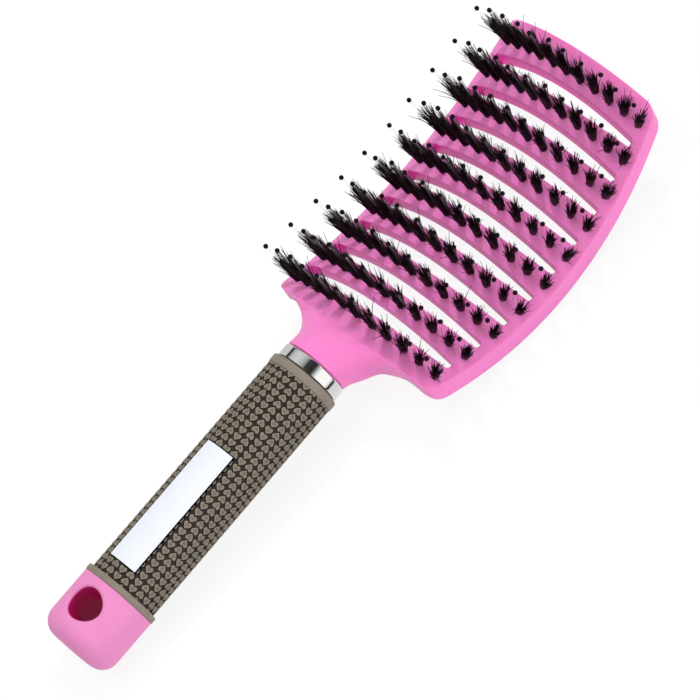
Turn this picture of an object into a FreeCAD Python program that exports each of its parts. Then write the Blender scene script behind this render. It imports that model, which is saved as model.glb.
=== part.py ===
"""Detangling hair brush: curved vented head, bristle tufts, ball-tipped pins and a rubber grip.

Millimetres. Y runs along the handle from the end cap to the head, X across the head and Z up out of the
bristles. The origin is the middle of the hanging hole, on the axis of the handle.
"""
import FreeCAD, Part
import math
import os
import Sketcher

Vector = FreeCAD.Vector
doc = FreeCAD.newDocument("detangling_brush")

# Driving dimensions
DIMENSIONS = {
    # End cap and hanging hole
    "hang_hole_radius": 5.6,
    "hang_hole_round": 1.0,
    "cap_radius": 13.2,
    "cap_butt_length": 12.9,
    "cap_shoulder": 8.9,
    "cap_edge_round": 6.0,
    "spigot_length": 16.0,
    # Handle tube and rubber grip
    "tube_bore_radius": 7.2,
    "tube_radius": 9.8,
    "fit_clearance": 0.1,
    "lower_collar_length": 2.3,
    "lower_collar_radius": 13.4,
    "grip_length": 84.4,
    "grip_radius": 12.3,
    "upper_collar_length": 3.1,
    "upper_collar_radius": 12.45,
    # Raised hearts of the grip
    "heart_height": 0.6,
    "heart_columns": 24,
    "heart_turn": 10.0,
    "heart_start": 0.4,
    "heart_pitch": 2.58,
    "heart_stagger": 0.5,
    "heart_gap": 0.15,
    "heart_width": "=2 * pi * (grip_radius - heart_height) / heart_columns - heart_gap",
    "heart_length": "=heart_pitch - heart_gap",
    # White plate let into the grip
    "label_start": 5.9,
    "label_length": 46.6,
    "label_width": 11.2,
    "label_thickness": 1.0,
    # Ferrule and tang
    "ferrule_length": 5.0,
    "ferrule_radius": 11.5,
    "ferrule_edge_round": 0.9,
    "tang_length": 40.0,
    # Neck
    "neck_radius": 11.3,
    "neck_length": 13.3,
    "neck_thickness": 8.6,
    "neck_overlap": 4.0,
    "neck_sink": 0.4,
    # Head plate: crowned across, scooped along
    "head_length": 118.0,
    "head_half_width": 36.7,
    "side_bow_radius": 450.0,
    "widest_place": 50.0,
    "top_corner_radius": 5.0,
    "low_corner_radius": 8.0,
    "neck_fillet_radius": 10.0,
    "crown_radius": 63.0,
    "scoop_radius": 121.0,
    "scoop_depth": 8.5,
    "head_thickness": 6.0,
    # Ribs and vents
    "first_row": 7.5,
    "last_row": 7.09,
    "row_count": 10,
    "row_pitch": "=(head_length - first_row - last_row) / (row_count - 1)",
    "vent_width": 4.8,
    "vent_end_width": 2.4,
    "rail_width": 3.4,
    # Tufts, staples and pins
    "tufts_per_row": 11,
    "rail_seats": 2,
    "edge_margin": 3.2,
    "fan_share": 0.88,
    "root_depth": 4.2,
    "root_clearance": 0.05,
    "tuft_root_radius": 1.25,
    "tuft_tip_radius": 2.1,
    "tuft_height": 12.5,
    "tuft_flare_start": 0.8,
    "staple_height": 1.1,
    "staple_thickness": 0.3,
    "pin_radius": 0.55,
    "pin_height": 17.0,
    "pin_tip_radius": 0.85,
}

sizes = doc.addObject("Spreadsheet::Sheet", "sizes")
for line, (name, value) in enumerate(DIMENSIONS.items(), start=1):
    sizes.set(f"A{line}", name)
    sizes.set(f"B{line}", str(value))
    sizes.setAlias(f"B{line}", name)
doc.recompute()


def size(name):
    """The value of one cell of the sheet."""
    return float(sizes.get(name))


# Places along the handle, as formulas of the sheet
CAP_SHOULDER = "sizes.cap_shoulder"
GRIP_START = f"{CAP_SHOULDER} + sizes.lower_collar_length"
GRIP_END = f"{GRIP_START} + sizes.grip_length"
SLEEVE_END = f"{GRIP_END} + sizes.upper_collar_length"
NECK_START = f"{SLEEVE_END} + sizes.ferrule_length"
HEAD_LOW = f"{NECK_START} + sizes.neck_length"
TANG_RADIUS = "sizes.tube_bore_radius - sizes.fit_clearance"
SLEEVE_BORE = "sizes.tube_radius + sizes.fit_clearance"
GRIP_BASE = "sizes.grip_radius - sizes.heart_height"


def number(formula):
    """The value of a formula of the sheet."""
    return float(sizes.evalExpression(formula))


head_low = number(HEAD_LOW)
head_top = head_low + size("head_length")
scoop_y = head_low + size("head_length") / 2
scoop_axis_z = size("scoop_radius") - size("scoop_depth")


# Helpers for bodies and sketches
def new_body(name):
    """An empty body with a label of its own."""
    body = doc.addObject("PartDesign::Body", name)
    body.Label = name
    return body


def new_sketch(body, name, role, offset="0"):
    """A sketch on one of the body's origin planes, moved along the plane's normal by a formula."""
    sketch = body.newObject("Sketcher::SketchObject", name)
    plane = next(item for item in body.Origin.OriginFeatures if item.Role == role)
    sketch.AttachmentSupport = [(plane, "")]
    sketch.MapMode = "FlatFace"
    if offset != "0":
        sketch.setExpression("AttachmentOffset.Base.z", offset)
    return sketch


def bind(sketch, constraint, formula):
    """Add a dimension to a sketch and bind it to a formula."""
    index = sketch.addConstraint(constraint)
    sketch.setExpression(f"Constraints[{index}]", formula)


def add_circle(sketch, formula):
    """A circle about the sketch's origin with its radius bound to a formula."""
    radius = number(formula)
    circle = sketch.addGeometry(Part.Circle(Vector(0, 0, 0), Vector(0, 0, 1), radius))
    sketch.addConstraint(Sketcher.Constraint("Coincident", circle, 3, -1, 1))
    bind(sketch, Sketcher.Constraint("Radius", circle, radius), formula)


def add_profile(sketch, corners):
    """A closed outline of lines, each corner held by two formulas: across and along."""
    points = [Vector(number(across), number(along), 0) for across, along in corners]
    count = len(points)
    for here in range(count):
        sketch.addGeometry(Part.LineSegment(points[here], points[(here + 1) % count]))
    for here, (across, along) in enumerate(corners):
        sketch.addConstraint(Sketcher.Constraint("Coincident", here, 2, (here + 1) % count, 1))
        if across == "0":
            sketch.addConstraint(Sketcher.Constraint("PointOnObject", here, 1, -2))
        else:
            bind(sketch, Sketcher.Constraint("DistanceX", -1, 1, here, 1, points[here].x), across)
        bind(sketch, Sketcher.Constraint("DistanceY", -1, 1, here, 1, points[here].y), along)


def turned_body(name, corners):
    """A body turned about the handle's axis from corners given as radius and place."""
    body = new_body(name)
    profile = new_sketch(body, f"{name}_profile", "XY_Plane")
    add_profile(profile, corners)
    turn = body.newObject("PartDesign::Revolution", f"{name}_turn")
    turn.Profile = profile
    turn.ReferenceAxis = (profile, ["V_Axis"])
    turn.Angle = 360
    doc.recompute()
    return body


def ring_edges(body, radius, place):
    """Names of the body's round edges of one radius at one place along the handle."""
    names = []
    for index, edge in enumerate(body.Shape.Edges, start=1):
        if not isinstance(edge.Curve, Part.Circle):
            continue
        if abs(edge.Curve.Radius - radius) < 1e-4 and abs(edge.Curve.Center.y - place) < 1e-4:
            names.append(f"Edge{index}")
    return names


def hole_rims(body, radius):
    """Names of the body's curved edges on an upright hole through the origin."""
    names = []
    for index, edge in enumerate(body.Shape.Edges, start=1):
        if isinstance(edge.Curve, Part.Line):
            continue
        if all(abs(math.hypot(point.x, point.y) - radius) < 1e-3 for point in edge.discretize(9)):
            names.append(f"Edge{index}")
    return names


def round_edges(body, edges, formula):
    """A fillet on some edges of a body, its radius bound to a formula."""
    sharp = body.Tip
    fillet = body.newObject("PartDesign::Fillet", f"{sharp.Name}_round")
    fillet.Base = (sharp, edges)
    fillet.setExpression("Radius", formula)
    doc.recompute()


def cut_through(body, sketch, name):
    """A pocket through everything on both sides of its sketch."""
    pocket = body.newObject("PartDesign::Pocket", name)
    pocket.Profile = sketch
    pocket.Type = "ThroughAll"
    pocket.SideType = "Symmetric"
    doc.recompute()
    return pocket


def combine(kind, name, base, tool):
    """A boolean of two objects."""
    item = doc.addObject(f"Part::{kind}", name)
    item.Base = base
    item.Tool = tool
    return item


def group(name, shapes):
    """One object that holds a group of separate solids."""
    item = doc.addObject("Part::Feature", name)
    item.Label = name
    item.Shape = Part.makeCompound(shapes)
    item.Placement = FreeCAD.Placement()
    return item


def seated(shape, seat):
    """A copy of a shape modelled along Z, moved to its seat."""
    copy = shape.copy()
    copy.Placement = seat.multiply(shape.Placement)
    return copy


# End cap: a rounded plug with the hanging hole across it and a spigot for the tube
end_cap = turned_body("end_cap", [
    ("0", "-sizes.cap_butt_length"),
    ("sizes.cap_radius", "-sizes.cap_butt_length"),
    ("sizes.cap_radius", CAP_SHOULDER),
    (TANG_RADIUS, CAP_SHOULDER),
    (TANG_RADIUS, f"{CAP_SHOULDER} + sizes.spigot_length"),
    ("0", f"{CAP_SHOULDER} + sizes.spigot_length"),
])
butt_edge = ring_edges(end_cap, size("cap_radius"), -size("cap_butt_length"))
round_edges(end_cap, butt_edge, "sizes.cap_edge_round")
hole_sketch = new_sketch(end_cap, "hang_hole_sketch", "XY_Plane")
add_circle(hole_sketch, "sizes.hang_hole_radius")
cut_through(end_cap, hole_sketch, "hang_hole")
round_edges(end_cap, hole_rims(end_cap, size("hang_hole_radius")), "sizes.hang_hole_round")

# Handle core: the rigid tube that takes the spigot below and the tang above
handle_core = turned_body("handle_core", [
    ("sizes.tube_bore_radius", CAP_SHOULDER),
    ("sizes.tube_radius", CAP_SHOULDER),
    ("sizes.tube_radius", SLEEVE_END),
    ("sizes.tube_bore_radius", SLEEVE_END),
])

# Sleeve moulding: rubber over the tube, with a collar at each end and a shallow seat for the plate
sleeve_moulding = turned_body("sleeve_moulding", [
    (SLEEVE_BORE, CAP_SHOULDER),
    ("sizes.lower_collar_radius", CAP_SHOULDER),
    ("sizes.lower_collar_radius", GRIP_START),
    (GRIP_BASE, GRIP_START),
    (GRIP_BASE, GRIP_END),
    ("sizes.upper_collar_radius", GRIP_END),
    ("sizes.upper_collar_radius", SLEEVE_END),
    (SLEEVE_BORE, SLEEVE_END),
])


def add_arched_bar(sketch, inner_radius, outer_radius, half_width):
    """The section of a curved bar: two arcs about the origin between two upright sides."""
    inner_angle = math.asin(half_width / inner_radius)
    outer_angle = math.asin(half_width / outer_radius)
    top = math.pi / 2
    origin = Vector(0, 0, 0)
    normal = Vector(0, 0, 1)
    inner_circle = Part.Circle(origin, normal, inner_radius)
    outer_circle = Part.Circle(origin, normal, outer_radius)
    inner = Part.ArcOfCircle(inner_circle, top - inner_angle, top + inner_angle)
    outer = Part.ArcOfCircle(outer_circle, top - outer_angle, top + outer_angle)
    sketch.addGeometry([
        inner,
        outer,
        Part.LineSegment(inner.StartPoint, outer.StartPoint),
        Part.LineSegment(inner.EndPoint, outer.EndPoint),
    ])


label_seat_radius = size("grip_radius") - size("label_thickness")
seat_overshoot = size("label_thickness")
seat_sketch = new_sketch(sleeve_moulding, "label_seat_sketch", "XZ_Plane",
                         f"-({GRIP_START} + sizes.label_start - sizes.fit_clearance)")
add_arched_bar(seat_sketch, label_seat_radius, size("grip_radius") + seat_overshoot,
               size("label_width") / 2 + size("fit_clearance"))
label_seat = sleeve_moulding.newObject("PartDesign::Pocket", "label_seat")
label_seat.Profile = seat_sketch
label_seat.setExpression("Length", "sizes.label_length + 2 * sizes.fit_clearance")
doc.recompute()


# Grip sleeve: the moulding with rows of raised hearts, point down and point up in turn round the grip
def heart_shape():
    """One heart along Z, from just under the face of the sleeve to the top of the grip."""
    shares = [(0, -0.5), (0.5, 0.12), (0.3, 0.5), (0, 0.3), (-0.3, 0.5), (-0.5, 0.12)]
    width = size("heart_width")
    length = size("heart_length")
    foot = math.sqrt(number(GRIP_BASE) ** 2 - (width / 2) ** 2) - size("fit_clearance")
    corners = [Vector(across * width, along * length, foot) for across, along in shares]
    outline = Part.makePolygon(corners + corners[:1])
    return Part.Face(outline).extrude(Vector(0, 0, size("grip_radius") - foot))


def heart_places():
    """Placements of the hearts on the grip, without those that would meet the seat of the plate."""
    columns = int(size("heart_columns"))
    first_heart = number(f"{GRIP_START} + sizes.heart_start + sizes.heart_length / 2")
    field = size("grip_length") - size("heart_start") - size("heart_stagger") - size("heart_length")
    plate_middle = number(f"{GRIP_START} + sizes.label_start + sizes.label_length / 2")
    clear_along = (size("label_length") + size("heart_length")) / 2 + size("fit_clearance")
    clear_aside = (size("label_width") + size("heart_width")) / 2 + size("fit_clearance")
    places = []
    for column in range(columns):
        turn = FreeCAD.Rotation(Vector(0, 1, 0), size("heart_turn") + 360 * column / columns)
        outward = turn.multVec(Vector(0, 0, size("grip_radius")))
        over_plate = outward.z > 0 and abs(outward.x) < clear_aside
        point_up = column % 2
        half_turn = FreeCAD.Rotation(Vector(0, 0, 1), 180 * point_up)
        for step in range(1 + int(field / size("heart_pitch"))):
            y = first_heart + step * size("heart_pitch") + point_up * size("heart_stagger")
            if over_plate and abs(y - plate_middle) < clear_along:
                continue
            places.append(FreeCAD.Placement(Vector(0, y, 0), turn.multiply(half_turn)))
    return places


heart = heart_shape()
hearts = group("hearts", [seated(heart, place) for place in heart_places()])
grip_sleeve = combine("Fuse", "grip_sleeve", sleeve_moulding, hearts)
grip_sleeve.Label = "grip_sleeve"
doc.recompute()

# Label plate: a bare curved plate, flush with the tops of the hearts
label_plate = new_body("label_plate")
plate_sketch = new_sketch(label_plate, "label_plate_section", "XZ_Plane",
                          f"-({GRIP_START} + sizes.label_start)")
add_arched_bar(plate_sketch, label_seat_radius, size("grip_radius"), size("label_width") / 2)
plate_pad = label_plate.newObject("PartDesign::Pad", "label_plate_pad")
plate_pad.Profile = plate_sketch
plate_pad.Reversed = True
plate_pad.setExpression("Length", "sizes.label_length")
doc.recompute()

# Ferrule: the plated ring on the tang, between the sleeve and the neck
ferrule = turned_body("ferrule", [
    ("sizes.tube_bore_radius", SLEEVE_END),
    ("sizes.ferrule_radius", SLEEVE_END),
    ("sizes.ferrule_radius", NECK_START),
    ("sizes.tube_bore_radius", NECK_START),
])
rims = ring_edges(ferrule, size("ferrule_radius"), number(SLEEVE_END))
rims += ring_edges(ferrule, size("ferrule_radius"), number(NECK_START))
round_edges(ferrule, rims, "sizes.ferrule_edge_round")


# Shape of the head
def half_width_at(y):
    """Half width of the head in plan: each side is one shallow arc."""
    from_widest = y - (head_low + size("widest_place"))
    bow = size("side_bow_radius")
    return size("head_half_width") - (bow - math.sqrt(bow ** 2 - from_widest ** 2))


def crown_height(x, y):
    """Height of the head's upper face: a crown arc across, turned about the scoop's axis."""
    crown = size("crown_radius")
    from_axis = size("scoop_radius") + crown - math.sqrt(crown ** 2 - x ** 2)
    return scoop_axis_z - math.sqrt(from_axis ** 2 - (y - scoop_y) ** 2)


# Head plate: the crown section turned about an axis above the head
head_moulding = new_body("head_moulding")
crown_margin = math.radians(4)
under_radius = size("crown_radius") - size("head_thickness")
crown_half_angle = crown_margin + math.asin(size("head_half_width") / under_radius)
crown_centre = Vector(0, -size("scoop_depth") - size("crown_radius"), 0)
section = new_sketch(head_moulding, "crown_section", "XZ_Plane",
                     f"-({HEAD_LOW} + sizes.head_length / 2)")
low_angle = math.pi / 2 - crown_half_angle
high_angle = math.pi / 2 + crown_half_angle
upper_face = Part.ArcOfCircle(Part.Circle(crown_centre, Vector(0, 0, 1), size("crown_radius")),
                              low_angle, high_angle)
under_face = Part.ArcOfCircle(Part.Circle(crown_centre, Vector(0, 0, 1), under_radius),
                              low_angle, high_angle)
section.addGeometry([
    upper_face,
    under_face,
    Part.LineSegment(upper_face.StartPoint, under_face.StartPoint),
    Part.LineSegment(upper_face.EndPoint, under_face.EndPoint),
])
section.addGeometry(Part.LineSegment(Vector(-1, scoop_axis_z, 0), Vector(1, scoop_axis_z, 0)), True)
head_plate = head_moulding.newObject("PartDesign::Revolution", "head_plate")
head_plate.Profile = section
head_plate.ReferenceAxis = (section, ["Axis0"])
head_plate.Midplane = True
head_plate.setExpression(
    "Angle", "2 * asin((sizes.head_length / 2 + sizes.neck_overlap) / sizes.scoop_radius)")
doc.recompute()


# Plan outline: bowed sides, round corners and fillets that run into the neck
def arc_through(start, middle, end):
    """A circular arc through three plan points."""
    return Part.Arc(Vector(*start, 0), Vector(*middle, 0), Vector(*end, 0))


def corner_arc(centre, radius, start, end):
    """A rounded corner about a centre between two headings in degrees."""
    first = math.radians(start)
    middle = math.radians((start + end) / 2)
    last = math.radians(end)
    return arc_through(*[(centre[0] + radius * math.cos(heading), centre[1] + radius * math.sin(heading))
                         for heading in (first, middle, last)])


def plan_outline():
    """The outline of the head plate as a closed list of arcs and lines, from the low right corner."""
    low_round = size("low_corner_radius")
    top_round = size("top_corner_radius")
    side_low = head_low + low_round
    side_top = head_top - top_round
    side_middle = (side_low + side_top) / 2
    low_x = half_width_at(side_low)
    top_x = half_width_at(side_top)
    middle_x = half_width_at(side_middle)
    low_corner = corner_arc((low_x - low_round, side_low), low_round, -90, 0)
    right_side = arc_through((low_x, side_low), (middle_x, side_middle), (top_x, side_top))
    top_corner = corner_arc((top_x - top_round, side_top), top_round, 0, 90)
    far_corner = corner_arc((top_round - top_x, side_top), top_round, 90, 180)
    left_side = arc_through((-top_x, side_top), (-middle_x, side_middle), (-low_x, side_low))
    last_corner = corner_arc((low_round - low_x, side_low), low_round, 180, 270)
    top_edge = Part.LineSegment(top_corner.EndPoint, far_corner.StartPoint)
    low_edge = Part.LineSegment(last_corner.EndPoint, low_corner.StartPoint)
    return [low_corner, right_side, top_corner, top_edge, far_corner, left_side, last_corner, low_edge]


trim_margin = size("head_half_width") / 2
trim_x = size("head_half_width") + trim_margin
trim_low = head_low - trim_margin
trim_top = head_top + trim_margin
frame_corners = [
    Vector(-trim_x, trim_low, 0),
    Vector(trim_x, trim_low, 0),
    Vector(trim_x, trim_top, 0),
    Vector(-trim_x, trim_top, 0),
]
outline_sketch = new_sketch(head_moulding, "plan_outline", "XY_Plane")
outline_sketch.addGeometry([
    Part.LineSegment(frame_corners[here], frame_corners[(here + 1) % 4]) for here in range(4)
])
outline_sketch.addGeometry(plan_outline())
cut_through(head_moulding, outline_sketch, "plan_trim")


# Neck: round at the ferrule, spreading and thinning into the low edge of the head
def neck_half_width(y):
    """Half width of the neck, which spreads along a concave arc to the head's low edge."""
    fillet = size("neck_fillet_radius")
    along = y - (head_low - fillet)
    if along <= 0:
        return size("neck_radius")
    return size("neck_radius") + fillet - math.sqrt(fillet ** 2 - min(along, fillet) ** 2)


def neck_heights(y):
    """Lower and upper height of the neck: the top sinks just under the scoop, the underside rises."""
    top = min(size("neck_radius"), crown_height(0, y) - size("neck_sink"))
    if y > head_low:
        return top + 2 * size("neck_sink") - size("head_thickness"), top
    neck_start = number(NECK_START)
    share = (y - neck_start) / (head_low - neck_start)
    ease = (1 - math.cos(math.pi * share)) / 2
    low_under = crown_height(0, head_low) - size("neck_thickness")
    return ease * low_under - (1 - ease) * size("neck_radius"), top


neck_fillet = size("neck_fillet_radius")
neck_places = [head_low - share * neck_fillet for share in (1.0, 0.6, 0.3, 0.1)]
neck_places.append(head_low + size("neck_overlap"))
neck_base = new_sketch(head_moulding, "neck_base", "XZ_Plane", f"-({NECK_START})")
add_circle(neck_base, "sizes.neck_radius")
neck_sections = []
for count, place in enumerate(neck_places, start=1):
    under, top = neck_heights(place)
    neck_section = new_sketch(head_moulding, f"neck_section_{count}", "XZ_Plane", str(-place))
    neck_section.addGeometry(Part.Ellipse(Vector(0, (under + top) / 2, 0), neck_half_width(place),
                                          (top - under) / 2))
    neck_sections.append(neck_section)
doc.recompute()
neck = head_moulding.newObject("PartDesign::AdditiveLoft", "neck")
neck.Profile = neck_base
neck.Sections = neck_sections
neck.Refine = False
doc.recompute()

# Tang: the rod that passes through the ferrule into the handle tube
tang_sketch = new_sketch(head_moulding, "tang_sketch", "XZ_Plane", f"-({NECK_START})")
add_circle(tang_sketch, TANG_RADIUS)
tang = head_moulding.newObject("PartDesign::Pad", "tang")
tang.Profile = tang_sketch
tang.setExpression("Length", "sizes.ferrule_length + sizes.tang_length")
doc.recompute()

# Vents: a long lens with round ends between each two ribs
row_count = int(size("row_count"))
row_places = [head_low + size("first_row") + row * size("row_pitch") for row in range(row_count)]
vent_places = [row + size("row_pitch") / 2 for row in row_places[:-1]]


def vent_curves(y):
    """The outline of one vent: two shallow arcs joined by two round ends."""
    half_length = half_width_at(y) - size("rail_width")
    end_round = size("vent_end_width") / 2
    end_x = half_length - end_round
    half = size("vent_width") / 2
    return [
        arc_through((-end_x, y - end_round), (0, y - half), (end_x, y - end_round)),
        arc_through((end_x, y - end_round), (half_length, y), (end_x, y + end_round)),
        arc_through((end_x, y + end_round), (0, y + half), (-end_x, y + end_round)),
        arc_through((-end_x, y + end_round), (-half_length, y), (-end_x, y - end_round)),
    ]


vent_sketch = new_sketch(head_moulding, "vent_sketch", "XY_Plane")
for place in vent_places:
    vent_sketch.addGeometry(vent_curves(place))
cut_through(head_moulding, vent_sketch, "vents")


# Seats: tufts and pins alternate along each row, fanned out a little less than the crown slopes
seats_per_row = 2 * int(size("tufts_per_row"))


def seat_slope(y, item):
    """Slope of the crown at one seat of a row, counted from the left; a fraction lies between two seats."""
    half_arc = math.asin((half_width_at(y) - size("edge_margin")) / size("crown_radius"))
    return half_arc * (2 * item / (seats_per_row - 1) - 1)


def seat_at(y, item):
    """Placement on the crown at one seat of a row, fanned by a share of the slope there."""
    slope = seat_slope(y, item)
    x = size("crown_radius") * math.sin(slope)
    turn = FreeCAD.Rotation(Vector(0, 1, 0), math.degrees(slope * size("fan_share")))
    return FreeCAD.Placement(Vector(x, y, crown_height(x, y)), turn)


def primitive(kind, name, **formulas):
    """A Part primitive with its sizes, and its foot along Z, bound to formulas."""
    item = doc.addObject(f"Part::{kind}", name)
    for prop, formula in formulas.items():
        item.setExpression(".Placement.Base.z" if prop == "foot" else prop, formula)
    return item


# One tuft, one staple, one pin and one ball tip, each along Z from the face of the rib
tuft_root = primitive("Cylinder", "tuft_root", Radius="sizes.tuft_root_radius",
                      Height="sizes.root_depth - sizes.staple_height + sizes.tuft_flare_start",
                      foot="sizes.staple_height - sizes.root_depth")
tuft_flare = primitive("Cone", "tuft_flare", Radius1="sizes.tuft_root_radius",
                       Radius2="sizes.tuft_tip_radius", foot="sizes.tuft_flare_start",
                       Height="sizes.tuft_height - sizes.tuft_flare_start")
tuft = combine("Fuse", "tuft", tuft_root, tuft_flare)
tuft_hole = primitive("Cylinder", "tuft_hole", Radius="sizes.tuft_root_radius + sizes.root_clearance",
                      Height="sizes.root_depth + sizes.tuft_flare_start", foot="-sizes.root_depth")
pin = primitive("Cylinder", "pin", Radius="sizes.pin_radius", foot="-sizes.root_depth",
                Height="sizes.root_depth + sizes.pin_height - sizes.pin_tip_radius")
pin_hole = primitive("Cylinder", "pin_hole", Radius="sizes.pin_radius + sizes.root_clearance",
                     Height="sizes.root_depth + sizes.tuft_flare_start", foot="-sizes.root_depth")
ball = primitive("Sphere", "ball", Radius="sizes.pin_tip_radius",
                 foot="sizes.pin_height - sizes.pin_tip_radius")
ball_socket = primitive("Cylinder", "ball_socket", Radius="sizes.pin_radius + sizes.root_clearance",
                        Height="2 * sizes.pin_tip_radius",
                        foot="sizes.pin_height - 3 * sizes.pin_tip_radius")
pin_tip = combine("Cut", "pin_tip", ball, ball_socket)
staple = primitive("Box", "staple", Length="2 * sizes.tuft_root_radius", Width="sizes.staple_thickness",
                   Height="sizes.staple_height", foot="-sizes.root_depth")
staple.setExpression(".Placement.Base.x", "-sizes.tuft_root_radius")
staple.setExpression(".Placement.Base.y", "-sizes.staple_thickness / 2")
doc.recompute()

rows = []
holes_by_row = []
for number_of_row, place in enumerate(row_places, start=1):
    seats = [seat_at(place, item) for item in range(seats_per_row)]
    pin_seats = seats[0::2]
    tuft_seats = seats[1::2]
    holes_by_row.append([
        seated(tuft_hole.Shape if item % 2 else pin_hole.Shape, seat) for item, seat in enumerate(seats)
    ])
    rows += [
        group(f"bristle_row_{number_of_row:02d}", [seated(tuft.Shape, seat) for seat in tuft_seats]),
        group(f"staple_row_{number_of_row:02d}", [seated(staple.Shape, seat) for seat in tuft_seats]),
        group(f"pin_row_{number_of_row:02d}", [seated(pin.Shape, seat) for seat in pin_seats]),
        group(f"pin_tips_row_{number_of_row:02d}", [seated(pin_tip.Shape, seat) for seat in pin_seats]),
    ]


# Division of the moulding: a bar at each end, a rail along each side and a rib between each two vents
def cross_block(name, low, top):
    """A block right across the head between two places along it."""
    block = doc.addObject("Part::Box", name)
    block.Length = 2 * trim_x
    block.Width = top - low
    block.Height = 2 * trim_x
    block.Placement.Base = Vector(-trim_x, low, -trim_x)
    return block


def rib_space(name, y):
    """The space of one rib: from vent to vent, between planes that lean like the root holes beside them."""
    spacing = size("crown_radius") * (seat_slope(y, 1) - seat_slope(y, 0))
    past_tuft = (1 + (size("tuft_root_radius") - size("pin_radius")) / spacing) / 2
    left = seat_at(y, rail_seats - 1 + past_tuft)
    right = seat_at(y, seats_per_row - rail_seats - 1 + past_tuft)
    reach = 3 * size("head_thickness")
    below = Vector(0, 0, -reach)
    above = Vector(0, 0, reach)
    corners = [left.multVec(below), right.multVec(below), right.multVec(above), left.multVec(above)]
    start = Vector(0, -size("row_pitch") / 2, 0)
    outline = Part.makePolygon([corner + start for corner in corners + corners[:1]])
    return group(name, [Part.Face(outline).extrude(Vector(0, size("row_pitch"), 0))])


def drilled(name, blank, holes):
    """A piece of the moulding with its blind root holes."""
    piece = combine("Cut", name, blank, group(f"{name}_holes", holes))
    piece.Label = name
    return piece


rail_seats = int(size("rail_seats"))
head_block = cross_block("head_block", vent_places[0], trim_top)
neck_bar_blank = combine("Cut", "neck_bar_blank", head_moulding, head_block)
neck_bar = drilled("neck_bar", neck_bar_blank, holes_by_row[0])

tip_block = cross_block("tip_block", vent_places[-1], trim_top)
tip_bar_blank = combine("Common", "tip_bar_blank", head_moulding, tip_block)
tip_bar = drilled("tip_bar", tip_bar_blank, holes_by_row[-1])

ribs = []
rib_spaces = []
for number_of_rib, place in enumerate(row_places[1:-1], start=1):
    rib_spaces.append(rib_space(f"rib_space_{number_of_rib:02d}", place))
    rib_blank = combine("Common", f"rib_blank_{number_of_rib:02d}", head_moulding, rib_spaces[-1])
    rib_holes = holes_by_row[number_of_rib][rail_seats:-rail_seats]
    ribs.append(drilled(f"vent_rib_{number_of_rib:02d}", rib_blank, rib_holes))

all_ribs = doc.addObject("Part::MultiFuse", "all_ribs")
all_ribs.Shapes = rib_spaces
rail_block = cross_block("rail_block", vent_places[0], vent_places[-1])
rail_zone = combine("Common", "rail_zone", head_moulding, rail_block)
rail_blanks = combine("Cut", "rail_blanks", rail_zone, all_ribs)
rail_holes = []
for holes in holes_by_row[1:-1]:
    rail_holes += holes[:rail_seats] + holes[-rail_seats:]
rails = drilled("rails", rail_blanks, rail_holes)
doc.recompute()
left_rails = [solid for solid in rails.Shape.Solids if solid.CenterOfMass.x < 0]
right_rails = [solid for solid in rails.Shape.Solids if solid.CenterOfMass.x > 0]
side_rail_left = group("side_rail_left", left_rails)
side_rail_right = group("side_rail_right", right_rails)

# Check everything, then write one file for each sub-part
head_pieces = [neck_bar, tip_bar, side_rail_left, side_rail_right] + ribs
sub_parts = head_pieces + [ferrule, handle_core, grip_sleeve, label_plate, end_cap] + rows
for item in doc.Objects:
    if "Invalid" in item.State or "Error" in item.State:
        raise RuntimeError(f"{item.Label} failed to build: {item.State}")
for item in sub_parts:
    if item.Shape.isNull() or not item.Shape.isValid():
        raise RuntimeError(f"{item.Label} has no valid shape")
os.makedirs("parts", exist_ok=True)
for item in sub_parts:
    item.Shape.exportStep(f"parts/{item.Label}.step")
    box = item.Shape.BoundBox
    print(f"{item.Label}: {len(item.Shape.Solids)} solids, {item.Shape.Volume:.1f} mm3, "
          f"z {box.ZMin:.2f} to {box.ZMax:.2f}, y {box.YMin:.2f} to {box.YMax:.2f}")
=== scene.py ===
import bpy
import numpy as np
from mathutils import Matrix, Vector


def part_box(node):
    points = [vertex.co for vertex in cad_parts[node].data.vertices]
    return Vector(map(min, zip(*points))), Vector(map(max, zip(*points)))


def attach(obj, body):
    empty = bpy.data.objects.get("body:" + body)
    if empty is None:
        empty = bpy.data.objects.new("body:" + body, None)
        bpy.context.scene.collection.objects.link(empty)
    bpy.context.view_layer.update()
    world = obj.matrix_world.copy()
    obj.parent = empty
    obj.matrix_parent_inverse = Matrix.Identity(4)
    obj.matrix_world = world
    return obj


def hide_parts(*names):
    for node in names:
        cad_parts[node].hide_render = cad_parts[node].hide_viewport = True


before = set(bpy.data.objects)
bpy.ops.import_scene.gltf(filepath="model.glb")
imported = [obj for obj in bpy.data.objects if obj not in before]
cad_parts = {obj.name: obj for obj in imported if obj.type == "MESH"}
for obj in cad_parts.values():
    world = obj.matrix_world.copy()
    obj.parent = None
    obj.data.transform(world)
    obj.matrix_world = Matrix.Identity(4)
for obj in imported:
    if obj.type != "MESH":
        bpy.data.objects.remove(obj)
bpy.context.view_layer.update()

# Head: one moulding in glossy pink plastic, a curved plate with nine long vents between ten ribs, a rail
# down each side and a neck that runs round into the ferrule. Its tang goes on into the handle. The walls of
# the vents are painted a deeper pink: painted shade for the saturated light inside the vents.
MM = 0.001
ROWS = [f"{row:02d}" for row in range(1, 11)]
TOP_CORNER = 3.0
TOP_STEPS = (5.0, 3.0, 1.4, 0.4, 0)
LOW_CORNER = 3.6
LOW_RISE = 1.5
LOW_STEPS = (0, 0.6, 1.6, 2.8, 4.4)
SIDE_BOW = 450.0
WIDEST_PLACE = 50.0
CROWN = 63.0
SCOOP = 121.0
SCOOP_DEPTH = 8.5
PLATE = 6.0
RAIL = 3.4
RAIL_ROUND = 0.6
RIB_ROUND = 0.7
VENT_HALF = 2.4
VENT_END_HALF = 1.2
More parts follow.
